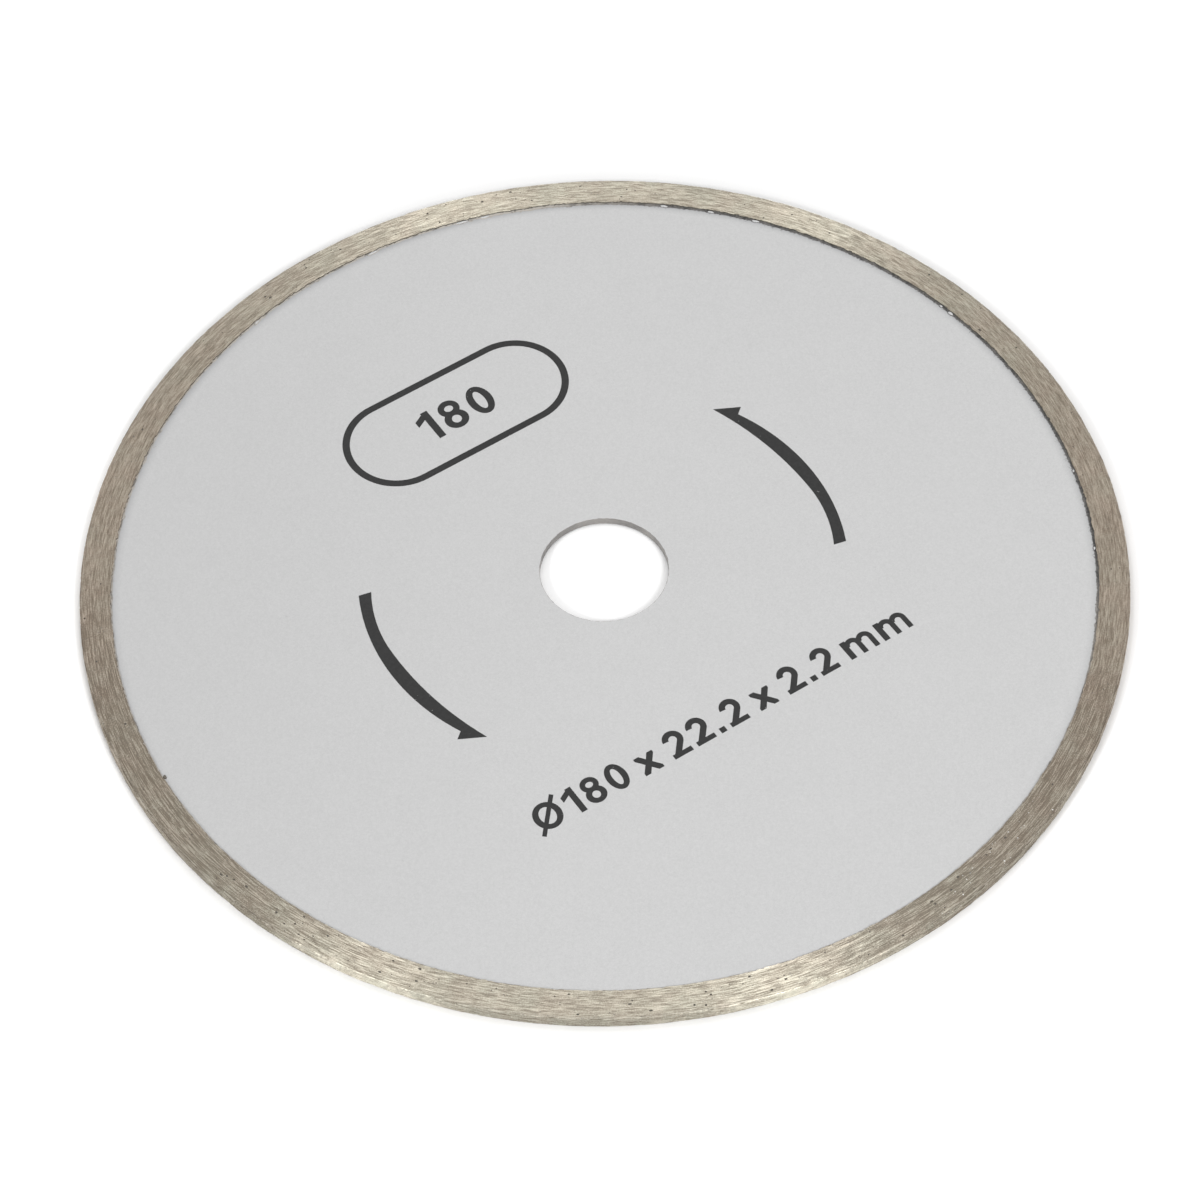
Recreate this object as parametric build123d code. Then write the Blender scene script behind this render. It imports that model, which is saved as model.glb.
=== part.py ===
from build123d import *
from itertools import permutations, product
import math
import os

# A continuous-rim diamond blade for tile and stone, lying flat with its printed face up.
# Millimetres. The origin is on the bore's axis, half-way through the steel. +Z leaves the
# printed face and +X runs along the printed size line in reading direction.

# Blade
blade_diameter = 180.0
bore_diameter = 22.2

# Steel core
core_thickness = 1.4

# Diamond rim, sintered round the core's edge and ground flat on both faces
rim_thickness = 2.2
rim_width = 5.4  # from the working edge in to the rim's foot
rim_edge_break = 0.15  # chamfer that dressing leaves along the working edge

# Thinned, slotted edge of the core that the rim grips
tongue_reach = 2.6  # past the rim's foot
tongue_thickness = 0.8
key_slot_count = 36
key_slot_width = 2.0
key_slot_depth = 1.2

# Diamond crystals set in the bond, cut flush where they meet a ground surface
crystal_size = 0.42  # corner to corner
crystal_exposure = 0.12  # how far a crystal's middle lies below the surface
crystal_margin = 0.25  # kept between a crystal and a corner of the rim
crystals_per_face = 40
crystals_on_edge = 50
step_wander = 0.6  # share of a step by which a crystal strays from even spacing

# Paint film on each face of the core
paint_thickness = 0.05
paint_foot_gap = 0.15  # bare steel left between the film and the rim's foot

# Ink, printed on the front film
ink_thickness = 0.03
print_offset = 0.25  # how far the whole print sits above the bore's axis, along +Y

# Direction arrows: radii from the print's middle and degrees from +X
arrow_tip = (40.05, 27.25)
arrow_barb = (43.05, 21.8)
arrow_notch = (41.4, 21.1)
arrow_back_bulge = (42.05, -3.0)
arrow_tail_outer = (42.2, -26.5)
arrow_tail_inner = (40.0, -27.2)
arrow_front_swell = (40.2, -19.0)
arrow_front_join = (39.95, -10.0)
arrow_front_waist = (39.25, 9.0)

# Numerals and signs of the size line, drawn as strokes
digit_height = 5.45
digit_width = 3.65
small_height = 3.95
stroke = 1.1
light_stroke = 0.95
glyph_gap = 1.04
word_gap = 2.25
sign_width_share = 1.38  # the diameter sign's oval, of a numeral's width
slash_overhang_share = 0.08  # how far its slash runs past the oval, of the digit height
slash_stroke_share = 0.7  # of the stroke
one_width_share = 0.7  # of a numeral's width
one_flag_shares = (0.6, 0.9)  # where the flag of the 1 starts and ends, of the digit height
two_bowl_angles = (-40, 175)  # where the bowl of the 2 meets its leg and where it starts, in degrees
eight_lower_share = 0.62  # the lower oval of the 8, of the digit height
eight_upper_share = 0.9  # the upper oval of the 8, of a numeral's width
arch_radius_share = 0.42  # an arch of the m, of a numeral's width
arch_overlap_share = 0.6  # how far the arches of the m share a stem, of the stroke
size_words = ("Ø180", "×", "22.2", "×", "2.2", "mm")
size_line_middle = (-0.9, -37.25)

# Badge: a plain number in a round-ended outline
badge_length = 43.9
badge_height = 19.6
badge_line = 1.3
badge_number = "180"
badge_digit_height = 6.65
badge_middle = (-2.15, 43.55)

# Worked out from the sizes above
blade_radius = blade_diameter / 2
bore_radius = bore_diameter / 2
foot_radius = blade_radius - rim_width
tongue_radius = foot_radius + tongue_reach
core_face = core_thickness / 2
rim_face = rim_thickness / 2
paint_face = core_face + paint_thickness


def disc(radius, thickness):
    """A disc half above and half below the XY plane."""
    return Cylinder(radius, thickness)


def polar(point):
    """The XY point at a (radius, degrees) pair."""
    radius, degrees = point
    return (radius * math.cos(math.radians(degrees)), radius * math.sin(math.radians(degrees)))


# Steel core


def steel_core():
    """Full thickness out to the rim's foot, then a thin tongue with open slots in its edge."""
    plate = disc(foot_radius, core_thickness) + disc(tongue_radius, tongue_thickness)
    slot = Pos(tongue_radius, 0, 0) * Box(2 * key_slot_depth, key_slot_width, core_thickness)
    plate -= PolarLocations(0, key_slot_count) * slot
    return plate - disc(bore_radius, core_thickness)


# Diamond rim and the crystals in it


def rim_blank():
    """The ring as ground: full width, rim thickness, the working edge broken on both sides."""
    ring = disc(blade_radius, rim_thickness)
    ring = chamfer(ring.edges().filter_by(GeomType.CIRCLE), rim_edge_break)
    return ring - disc(foot_radius, rim_thickness)


def crystal():
    """A truncated octahedron, the habit of a saw-grade diamond, standing on the origin's axes."""
    unit = crystal_size / (2 * math.hypot(1, 2))
    corners = {
        (x * unit, y * unit, z * unit)
        for one, two in product((-1, 1), (-2, 2))
        for x, y, z in permutations((0, one, two))
    }
    return ConvexPolyhedron(sorted(corners))


def scattered(count, low, high):
    """Pairs of an angle, a little off an even step, and a value from low to high."""
    golden = (math.sqrt(5) - 1) / 2
    for number in range(count):
        stray = step_wander * (number * golden % 1)
        yield 360 * (number + stray) / count, low + (high - low) * (number * number * golden % 1)


def crystal_places():
    """Where each crystal lies and how it is turned, over both faces and the working edge."""
    reach = crystal_size / 2 + crystal_margin
    depth = rim_face - crystal_exposure
    for side, start in ((1, 0), (-1, 180 / crystals_per_face)):
        for angle, radius in scattered(crystals_per_face, foot_radius + reach, blade_radius - 2 * reach):
            yield Rot(0, 0, angle + start) * Pos(radius, 0, side * depth) * Rot(angle, 3 * angle, 0)
    edge_reach = rim_face - 2 * reach
    for angle, height in scattered(crystals_on_edge, -edge_reach, edge_reach):
        place = Pos(blade_radius - crystal_exposure, 0, height)
        yield Rot(0, 0, angle) * place * Rot(0, 2 * angle, 5 * angle)


def diamond_grit(blank):
    """Every crystal, cut flush with the blank's ground surfaces."""
    whole = crystal()
    return [(place * whole) & blank for place in crystal_places()]


def diamond_rim(blank, core, grit):
    """The bond fills everything in the blank that the core and the crystals leave."""
    return blank - core - grit


# Paint


def paint_film():
    """One flat film resting on the XY plane, from the bore's edge to just short of the rim."""
    outline = Circle(foot_radius - paint_foot_gap) - Circle(bore_radius)
    return extrude(outline, paint_thickness)


# Ink


def printed(outline):
    """An outline of the print, as an ink film on the front paint."""
    return Pos(0, print_offset, paint_face) * extrude(outline, ink_thickness)


def arrow_outline():
    """One counter-clockwise arrow: a tapering band with a barb on its outer side only."""
    tail_outer, notch, barb, tip = map(polar, (arrow_tail_outer, arrow_notch, arrow_barb, arrow_tip))
    front_join, tail_inner = polar(arrow_front_join), polar(arrow_tail_inner)
    return make_face(
        [
            ThreePointArc(tail_outer, polar(arrow_back_bulge), notch),
            Line(notch, barb),
            Line(barb, tip),
            ThreePointArc(tip, polar(arrow_front_waist), front_join),
            ThreePointArc(front_join, polar(arrow_front_swell), tail_inner),
            Line(tail_inner, tail_outer),
        ]
    )


def rotation_arrows():
    """Two arrows, opposite each other across the bore."""
    return [printed(Rot(0, 0, turn) * arrow_outline()) for turn in (0, 180)]


def bar(start, end, width):
    """A straight stroke with square ends."""
    run, rise = end[0] - start[0], end[1] - start[1]
    middle = Pos((start[0] + end[0]) / 2, (start[1] + end[1]) / 2)
    return middle * Rot(0, 0, math.degrees(math.atan2(rise, run))) * Rectangle(math.hypot(run, rise), width)


def bend(centre, radius, start, end, width):
    """A curved stroke of that outer radius, from start to end degrees."""
    outer = CenterArc(centre, radius, start, end - start)
    inner = CenterArc(centre, radius - width, start, end - start)
    return make_face([outer, Line(outer @ 1, inner @ 1), inner, Line(inner @ 0, outer @ 0)])


def oval(width, height, side_stroke, end_stroke):
    """A closed oval stroke that stands on the baseline, its left side at x = 0."""
    ring = Ellipse(width / 2, height / 2) - Ellipse(width / 2 - side_stroke, height / 2 - end_stroke)
    return Pos(width / 2, height / 2) * ring


def within(width, height, outline):
    """The outline, trimmed to a box that stands on the baseline."""
    return outline & Pos(width / 2, height / 2) * Rectangle(width, height)


def diameter_sign():
    width = sign_width_share * digit_width
    overhang = slash_overhang_share * digit_height
    start, end = (-overhang / 2, -overhang), (width + overhang / 2, digit_height + overhang)
    slash = bar(start, end, slash_stroke_share * stroke)
    return oval(width, digit_height, stroke, light_stroke) + slash, width


def numeral_zero():
    return oval(digit_width, digit_height, stroke, light_stroke), digit_width


def numeral_one():
    width = one_width_share * digit_width
    low, high = (share * digit_height for share in one_flag_shares)
    stem = bar((width - stroke / 2, 0), (width - stroke / 2, digit_height), stroke)
    flag = bar((-stroke, low), (width - stroke / 2, high), light_stroke)
    return within(width, digit_height, stem + flag), width


def numeral_two():
    radius = digit_width / 2
    top = digit_height - radius
    leg_end, bowl_end = two_bowl_angles
    turn = math.radians(leg_end)
    middle = radius - stroke / 2
    knee = (radius + middle * math.cos(turn), top + middle * math.sin(turn))
    fall = knee[1] / math.cos(turn)
    foot = (knee[0] + fall * math.sin(turn), 0)
    bowl = bend((radius, top), radius, leg_end, bowl_end, stroke)
    base = bar((0, light_stroke / 2), (digit_width, light_stroke / 2), light_stroke)
    return within(digit_width, digit_height, bowl + bar(knee, foot, stroke) + base), digit_width


def numeral_eight():
    """Two ovals that share one stroke at the waist."""
    lower_height = eight_lower_share * digit_height
    upper_width = eight_upper_share * digit_width
    upper_height = digit_height - lower_height + light_stroke
    upper = oval(upper_width, upper_height, light_stroke, light_stroke)
    place = Pos((digit_width - upper_width) / 2, digit_height - upper_height)
    return place * upper + oval(digit_width, lower_height, stroke, light_stroke), digit_width


def decimal_point():
    return Pos(stroke / 2, stroke / 2) * Rectangle(stroke, stroke), stroke


def times_sign():
    width = digit_width
    rising = bar((-stroke / 2, -stroke), (width + stroke / 2, small_height + stroke), stroke)
    falling = bar((-stroke / 2, small_height + stroke), (width + stroke / 2, -stroke), stroke)
    return within(width, small_height, rising + falling), width


def letter_m():
    """Three stems under two arches."""
    radius = arch_radius_share * digit_width
    pitch = 2 * radius - arch_overlap_share * stroke
    width = stroke + 2 * pitch
    arch_height = small_height - radius
    outline = bar((stroke / 2, 0), (stroke / 2, small_height), stroke)
    for number in (1, 2):
        right = stroke + number * pitch
        outline += bend((right - radius, arch_height), radius, 0, 180, light_stroke)
        outline += bar((right - light_stroke / 2, 0), (right - light_stroke / 2, arch_height), light_stroke)
    return outline, width


glyphs = {
    "Ø": diameter_sign,
    "0": numeral_zero,
    "1": numeral_one,
    "2": numeral_two,
    "8": numeral_eight,
    ".": decimal_point,
    "×": times_sign,
    "m": letter_m,
}


def set_line(words):
    """The words' glyphs side by side on the baseline, starting at x = 0, and the line's length."""
    line, reach = Sketch(), 0
    for word in words:
        for mark in word:
            outline, width = glyphs[mark]()
            line += Pos(reach, 0) * outline
            reach += width + glyph_gap
        reach += word_gap - glyph_gap
    return line, reach - word_gap


def size_marking():
    """The blade's diameter, bore and thickness in one line below the bore."""
    line, length = set_line(size_words)
    start = Pos(size_line_middle[0] - length / 2, size_line_middle[1] - digit_height / 2)
    return printed(start * line)


def number_badge():
    """The outline and, inside it, the number."""
    frame = SlotOverall(badge_length, badge_height)
    frame -= SlotOverall(badge_length - 2 * badge_line, badge_height - 2 * badge_line)
    number, length = set_line([badge_number])
    enlarge = badge_digit_height / digit_height
    number = Pos(-length * enlarge / 2, -badge_digit_height / 2) * scale(number, by=enlarge)
    return [printed(Pos(*badge_middle) * outline) for outline in (frame, number)]


def write(node, *pieces):
    """One STEP file for the node, holding its pieces' solids side by side."""
    shape = Compound(children=[solid for piece in pieces for solid in piece.solids()])
    shape.label = node
    export_step(shape, f"parts/{node}.step")


os.makedirs("parts", exist_ok=True)
core = steel_core()
blank = rim_blank()
grit = diamond_grit(blank)
film = paint_film()
write("steel_core", core)
write("diamond_rim", diamond_rim(blank, core, grit))
write("diamond_grit", *grit)
write("front_paint", Pos(0, 0, core_face) * film)
write("back_paint", Pos(0, 0, -paint_face) * film)
write("rotation_arrows", *rotation_arrows())
write("size_marking", size_marking())
write("number_badge", *number_badge())
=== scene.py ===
import math
import bmesh
import bpy
import numpy as np
from mathutils import Matrix, Vector
from mathutils.geometry import delaunay_2d_cdt


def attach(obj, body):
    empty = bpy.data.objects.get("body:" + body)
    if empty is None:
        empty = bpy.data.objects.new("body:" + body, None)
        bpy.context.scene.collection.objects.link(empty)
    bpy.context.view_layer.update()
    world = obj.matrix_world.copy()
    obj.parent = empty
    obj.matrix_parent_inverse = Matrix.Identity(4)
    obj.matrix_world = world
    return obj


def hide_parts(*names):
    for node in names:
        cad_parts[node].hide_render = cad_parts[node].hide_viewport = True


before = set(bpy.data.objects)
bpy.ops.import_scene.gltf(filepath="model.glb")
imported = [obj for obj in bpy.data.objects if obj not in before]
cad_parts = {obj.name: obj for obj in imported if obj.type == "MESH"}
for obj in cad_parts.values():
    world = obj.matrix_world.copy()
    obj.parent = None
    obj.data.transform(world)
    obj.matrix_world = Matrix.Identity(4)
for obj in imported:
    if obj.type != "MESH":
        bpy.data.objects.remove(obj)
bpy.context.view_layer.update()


# ---------------------------------------------------------------------------------------
# The blade lies face up on a pale table. It is looked at from above and in front, with
# the printed size line running up to the right.
# ---------------------------------------------------------------------------------------
MM = 0.001
LOOK_AZIMUTH = math.radians(-32.4)
LOOK_ELEVATION = math.radians(53.151)
LOOK_ROLL = math.radians(-1.716)
LOOK_DISTANCE = 704.253 * MM
LOOK_TARGET = Vector((-3.946, -4.610, 0)) * MM
SENSOR_WIDTH = 36
LENS_LENGTH = 123.578
NEAREST_SEEN = 10 * MM

toward_eye = Vector((
    math.sin(LOOK_AZIMUTH) * math.cos(LOOK_ELEVATION),
    -math.cos(LOOK_AZIMUTH) * math.cos(LOOK_ELEVATION),
    math.sin(LOOK_ELEVATION),
))
level_right = toward_eye.cross(Vector((0, 0, 1))).normalized() * -1
level_up = toward_eye.cross(level_right)
eye_right = math.cos(LOOK_ROLL) * level_right + math.sin(LOOK_ROLL) * level_up
eye_up = toward_eye.cross(eye_right)

camera = bpy.data.objects.new("camera", bpy.data.cameras.new("camera"))
camera.data.sensor_width = SENSOR_WIDTH
camera.data.lens = LENS_LENGTH
camera.data.clip_start = NEAREST_SEEN
camera.matrix_world = Matrix((eye_right, eye_up, toward_eye)).transposed().to_4x4()
camera.location = LOOK_TARGET + toward_eye * LOOK_DISTANCE
bpy.context.scene.collection.objects.link(camera)
bpy.context.scene.camera = camera
bpy.context.scene.view_settings.view_transform = "Standard"


# ---------------------------------------------------------------------------------------
# The table top is plain pale board, and the room behind it is as pale. Both are pure white
# to the eye and to reflections. The board also glows to the eye and in reflections, a painted
# light that grows with the distance from the blade, comes in sooner except behind the blade and
# sooner still on two sides, and fills the bore. It lifts the blade's cast shadow there and
# leaves only its soft contact shadow.
# ---------------------------------------------------------------------------------------
TABLE_Z = -1.1
TABLE_HALF = 3000
TABLE_ALBEDO = 0.90
ROOM_LEVEL = 0.17
TABLE_GLOWS = (  # from and to this far from the axis, and the glow at each
    (9.0 * MM, 12 * MM, 0.22, 0.0),
    (90.4 * MM, 95 * MM, 0.0, 0.165),
    (100 * MM, 200 * MM, 0.0, 0.13),
    (200 * MM, 2000 * MM, 0.0, 0.9),
)
NEAR_GLOW = 0.17
NEAR_REACH = (90.6 * MM, 92.6 * MM)
SIDE_GLOWS = (  # the way from the axis, the glow, and how far out it starts and is full
    (150.0, 0.15, 90.05 * MM, 90.55 * MM),
    (-47.4, 0.085, 90.4 * MM, 91.0 * MM),
)


class Board:
    """One material's or one group's node tree. It adds a node, sets its plain inputs and joins
    its linked ones in a single call."""

    def __init__(self, tree):
        self.tree = tree

    def feed(self, value, socket):
        """Joins a linked value to the socket, or sets a plain one on it."""
        if isinstance(value, bpy.types.NodeSocket):
            self.tree.links.new(value, socket)
        else:
            socket.default_value = value

    def add(self, kind, settings=None, **inputs):
        """A node of that kind. Inputs are named with underscores for spaces, or in0, in1 by place."""
        node = self.tree.nodes.new(kind)
        for name, value in (settings or {}).items():
            setattr(node, name, value)
        for name, value in inputs.items():
            by_place = name[:2] == "in" and name[2:].isdigit()
            self.feed(value, node.inputs[int(name[2:]) if by_place else name.replace("_", " ")])
        return node

    def math(self, operation, *values, clamp=False):
        inputs = {f"in{place}": value for place, value in enumerate(values)}
        return self.add("ShaderNodeMath", {"operation": operation, "use_clamp": clamp}, **inputs).outputs[0]

    def vector(self, operation, *values, **named):
        """Vector arithmetic. A length and a dot product come out as a number."""
        inputs = {f"in{place}": value for place, value in enumerate(values)}
        node = self.add("ShaderNodeVectorMath", {"operation": operation}, **inputs, **named)
        return node.outputs["Value" if operation in ("LENGTH", "DOT_PRODUCT") else "Vector"]

    def point(self, x=0.0, y=0.0, z=0.0):
        return self.add("ShaderNodeCombineXYZ", in0=x, in1=y, in2=z).outputs[0]

    def split(self, vector):
        """The x, y and z of a vector."""
        return self.add("ShaderNodeSeparateXYZ", in0=vector).outputs

    def noise(self, vector, scale, detail=2.0, roughness=0.5):
        inputs = {"Vector": vector, "Scale": scale, "Detail": detail, "Roughness": roughness}
        return self.add("ShaderNodeTexNoise", **inputs).outputs["Fac"]

    def spread(self, value, low, high, to_low=0.0, to_high=1.0):
        """The value, stretched from low..high to the new ends and held there."""
        inputs = {f"in{place}": item for place, item in enumerate((value, low, high, to_low, to_high))}
        return self.add("ShaderNodeMapRange", **inputs).outputs[0]

    def add_up(self, *parts):
        """The sum of the parts, each given as a value and its share."""
        (value, share), *others = parts
        total = self.math("MULTIPLY", value, share)
        for value, share in others:
            total = self.math("MULTIPLY_ADD", value, share, total)
        return total

    def blend(self, share, first, second, way="MIX"):
        """A colour between two colours, or their product where the way is MULTIPLY."""
        settings = {"data_type": "RGBA", "blend_type": way}
        return self.add("ShaderNodeMix", settings, in0=share, in6=first, in7=second).outputs[2]

    def place(self):
        """Coordinates on the blade itself, in metres."""
        return self.add("ShaderNodeTexCoord").outputs["Object"]

    def off_axis(self, x, y):
        """How far that point is from the axis."""
        return self.math("SQRT", self.math("ADD", self.math("MULTIPLY", x, x), self.math("MULTIPLY", y, y)))

    def toward(self, degrees):
        """1 in that direction from the blade's axis, 0 square to it, -1 on the other side."""
        unit = self.vector("NORMALIZE", self.vector("MULTIPLY", self.place(), (1, 1, 0)))
        turn = math.radians(degrees)
        return self.vector("DOT_PRODUCT", unit, (math.cos(turn), math.sin(turn), 0))

    def side(self, degrees, low, high, to_low=0.0, to_high=1.0):
        """A mask of one side of the blade. It comes in between those two values of toward."""
        return self.spread(self.toward(degrees), low, high, to_low, to_high)


def new_material(name):
    """An empty material, its board and its output node."""
    made = bpy.data.materials.new(name)
    made.use_nodes = True
    made.node_tree.nodes.clear()
    board = Board(made.node_tree)
    return made, board, board.add("ShaderNodeOutputMaterial")


def new_piece(name, points, faces):
    """An object in the scene, from points in mm."""
    mesh = bpy.data.meshes.new(name)
    mesh.from_pydata((np.asarray(points) * MM).tolist(), [], faces)
    made = bpy.data.objects.new(name, mesh)
    bpy.context.scene.collection.objects.link(made)
    return made


def seen_plainly(board):
    """1 for the eye, for reflections and for what shows through glass, and 0 for lighting."""
    path = board.add("ShaderNodeLightPath").outputs
    straight = board.math("MAXIMUM", path["Is Camera Ray"], path["Is Transmission Ray"])
    return board.math("MAXIMUM", straight, path["Is Glossy Ray"])


corners = [(x * TABLE_HALF, y * TABLE_HALF, TABLE_Z) for x, y in ((-1, -1), (1, -1), (1, 1), (-1, 1))]
table = new_piece("table_top", corners, [(0, 1, 2, 3)])

table_paint, board, end = new_material("table_paint")
matte = board.add("ShaderNodeBsdfDiffuse", Color=(TABLE_ALBEDO, TABLE_ALBEDO, TABLE_ALBEDO, 1))
away = board.vector("LENGTH", board.place())
# painted light: the board's glow, which lifts the blade's cast shadow near it and in the bore
clear = board.spread(away, *TABLE_GLOWS[0])
for reach in TABLE_GLOWS[1:]:
    clear = board.math("ADD", clear, board.spread(away, *reach))
not_behind = board.side(90 + math.degrees(LOOK_AZIMUTH), 0.5, 0.95, NEAR_GLOW, 0.0)
clear = board.math("MULTIPLY_ADD", not_behind, board.spread(away, *NEAR_REACH), clear)
for way, level, *reach in SIDE_GLOWS:
    aside = board.side(way, 0.84, 0.95, 0.0, level)
    clear = board.math("MULTIPLY_ADD", aside, board.spread(away, *reach), clear)
strength = board.math("MULTIPLY", seen_plainly(board), clear)
glow = board.add("ShaderNodeEmission", Color=(1, 1, 1, 1), Strength=strength)
both = board.add("ShaderNodeAddShader", in0=matte.outputs[0], in1=glow.outputs[0])
board.feed(both.outputs[0], end.inputs["Surface"])
table.data.materials.append(table_paint)

room = bpy.data.worlds.new("room")
room.use_nodes = True
room.node_tree.nodes.clear()
board = Board(room.node_tree)
level = board.spread(seen_plainly(board), 0.0, 1.0, ROOM_LEVEL, 1.0)
air = board.add("ShaderNodeBackground", Color=(1, 1, 1, 1), Strength=level)
board.add("ShaderNodeOutputWorld", Surface=air.outputs[0])
bpy.context.scene.world = room
room.cycles.sampling_method = "NONE"
table_paint.cycles.emission_sampling = "NONE"


# ---------------------------------------------------------------------------------------
# Three square softboxes light the blade: one at the front left, one at the front right and
# a wide one overhead. The two in front draw the bright fans across the ground rim.
# ---------------------------------------------------------------------------------------
def softbox(name, azimuth, elevation, distance, side, watts):
    """A square lamp turned to the blade. Azimuth is counted from the eye's right, anticlockwise."""
    turn = math.radians(azimuth) + LOOK_AZIMUTH
    rise = math.radians(elevation)
    way = Vector((math.cos(rise) * math.cos(turn), math.cos(rise) * math.sin(turn), math.sin(rise)))
    lamp = bpy.data.lights.new(name, "AREA")
    lamp.shape = "SQUARE"
    lamp.size = side
    lamp.energy = watts
    holder = bpy.data.objects.new(name, lamp)
    holder.location = way * distance
    holder.rotation_euler = way.to_track_quat("Z", "Y").to_euler()
    bpy.context.scene.collection.objects.link(holder)


softbox("left_softbox", azimuth=223.1, elevation=36, distance=5.0, side=0.74, watts=67.0)
softbox("right_softbox", azimuth=304.3, elevation=44, distance=2.5, side=0.75, watts=25.7)
softbox("top_softbox", azimuth=226, elevation=89, distance=3.0, side=2.6, watts=40.5)


# ---------------------------------------------------------------------------------------
# The steel core is a thin blank of rolled sheet. Only its bore wall shows, where the bare
# cut steel has gone dull and brown, and a hairline of it between the paint and the rim.
# ---------------------------------------------------------------------------------------
MOTTLE_SPAN = (0.3, 0.7)
MOTTLE_MIDDLE = (0.35, 0.65)


def new_group(name, inputs, outputs):
    """An empty node group with those float inputs and outputs, its board and its two ends."""
    tree = bpy.data.node_groups.new(name, "ShaderNodeTree")
    for label, start in inputs.items():
        socket = tree.interface.new_socket(label, in_out="INPUT", socket_type="NodeSocketFloat")
        socket.default_value = start
    for label in outputs:
        tree.interface.new_socket(label, in_out="OUTPUT", socket_type="NodeSocketFloat")
    board = Board(tree)
    return tree, board, board.add("NodeGroupInput").outputs, board.add("NodeGroupOutput")


def use(board, group, **values):
    """The outputs of a node group placed on the board with its own values."""
    return board.add("ShaderNodeGroup", {"node_tree": group}, **values).outputs


def finish_material(board, end, colour, roughness, height=None, depth=0.0, **others):
    """A Principled shader with a linked colour and roughness, and a bump of that depth in mm."""
    shader = board.add("ShaderNodeBsdfPrincipled", Base_Color=colour, Roughness=roughness, **others)
    if height is not None:
        bump = board.add("ShaderNodeBump", Strength=1.0, Distance=depth * MM, Height=height)
        board.feed(bump.outputs[0], shader.inputs["Normal"])
    board.feed(shader.outputs[0], end.inputs["Surface"])
    return shader


def grey(level, warmth=0.0):
    """A nearly neutral colour; warmth lifts red and lowers blue."""
    return (level * (1 + warmth), level, level * (1 - warmth), 1)


mottle, board, given, end = new_group("mottle", {"Size": 1.0, "Seed": 0.0}, ["Value"])
scale = board.math("DIVIDE", 1 / MM, given["Size"])
shifted = board.vector("ADD", board.place(), board.point(x=given["Seed"], z=given["Seed"]))
board.feed(board.noise(shifted, scale, detail=3.0, roughness=0.55), end.inputs["Value"])

core_steel, board, end = new_material("core_steel")
cloud = use(board, mottle, Size=4.0, Seed=3.0)["Value"]
grain = use(board, mottle, Size=0.25, Seed=5.0)["Value"]
tone = board.add_up((cloud, 0.6), (grain, 0.4))
colour = board.blend(board.spread(tone, *MOTTLE_SPAN), grey(0.20, 0.02), grey(0.40, 0.05))
finish_material(board, end, colour, board.spread(grain, *MOTTLE_SPAN, 0.45, 0.65), grain, 0.02, Metallic=0.85)
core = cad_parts["steel_core"]
core.data.materials.clear()
core.data.materials.append(core_steel)


# ---------------------------------------------------------------------------------------
# The rim is one sintered ring of bronze and iron with diamonds in it, pressed round the
# core's edge. Both faces are ground flat, which leaves fine scratches along the rim and
# tears out crystals and loose bond. It is scored on one side and grittier on two, and those
# two are also painted darker as painted shade. Its outer edge carries painted shade too, two
# narrow sides carry painted highlights, and the bond has a cooler painted highlight tint along
# the line to the eye.
# ---------------------------------------------------------------------------------------
RIM_OUTER = 90.0
RIM_FOOT = 84.6
RIM_FACE = 1.1
CORE_FACE = 0.7
TONGUE_EDGE = 87.2
TONGUE_FACE = 0.4
GROOVE_MOUTH = RIM_FOOT + 0.4
EDGE_ROUND = ((0.16, 0.0), (0.08, 0.012), (0.03, 0.045), (0.0, 0.11))  # in from the edge, below the face
WALL_LEVELS = ((0.45, 34), (0.0, 30), (-0.45, 26))  # the height of a ring of points, and its seed
OUTLINE_WAVER = (0.02, 60, 3)  # how far it wavers, and its longest and shortest waves
EDGE_FRAY = (0.02, 12, 0.6)
BEVEL_FRAY = (0.012, 5, 0.6)
WALL_FRAY = (0.012, 6, 0.6)
FOOT_FRAY = (0.045, 20, 0.7)
FOOT_WALL_FRAY = (0.03, 4, 0.6)
EDGE_NICKS = (34, (0.25, 0.9), (0.03, 0.12))  # how many, how wide and how deep
FOOT_CHIPS = (150, (0.25, 1.1), (0.03, 0.15))
FACE_PITS = ((66, (0.28, 0.46)), (130, (0.14, 0.26)))  # how many and how wide
PIT_CORNERS = 9
PIT_DEPTH = 0.4  # of its width
PIT_FLOOR = 0.6  # the floor's width, of the mouth's
PIT_TIP = 1.15  # the middle's depth, of the floor's
SOUND_BOND = 0.35  # the share of pits that is left where the bond is sound
WEAK_SIDES = ((-160, -95, 20), (55, 95, 12))
STATIONS = 2880
MOST_WAVES = 60
GROUND, DRESSED, BROKEN = 0, 1, 2  # the rim's materials in their order: face, wall, and foot with pits


def even_turns(count):
    """That many directions, evenly round the blade."""
    return np.arange(count) * 2 * np.pi / count


turns = even_turns(STATIONS)


def ripple(seed, amount, longest, shortest, around=turns):
    """A wavering round the whole blade, in mm, made of waves from longest to shortest mm."""
    dice = np.random.default_rng(seed)
    length = 2 * np.pi * RIM_FOOT
    counts = np.unique(np.geomspace(length / longest, length / shortest, MOST_WAVES).astype(int))
    total = sum(np.sin(count * around + dice.uniform(0, 2 * np.pi)) for count in counts)
    return amount * total / math.sqrt(len(counts) / 2)


def bites(seed, number, width, depth, start=0.0, stop=360.0):
    """Rounded bites out of an edge, as mm of depth by station, between two directions in degrees."""
    dice = np.random.default_rng(seed)
    total = np.zeros(STATIONS)
    for _ in range(number):
        middle = math.radians(dice.uniform(start, stop))
        half = dice.uniform(*width) / 2 / RIM_FOOT
        off = (turns - middle + np.pi) % (2 * np.pi) - np.pi
        total = np.maximum(total, dice.uniform(*depth) * np.sqrt(np.clip(1 - (off / half) ** 2, 0, 1)))
    return total


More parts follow.
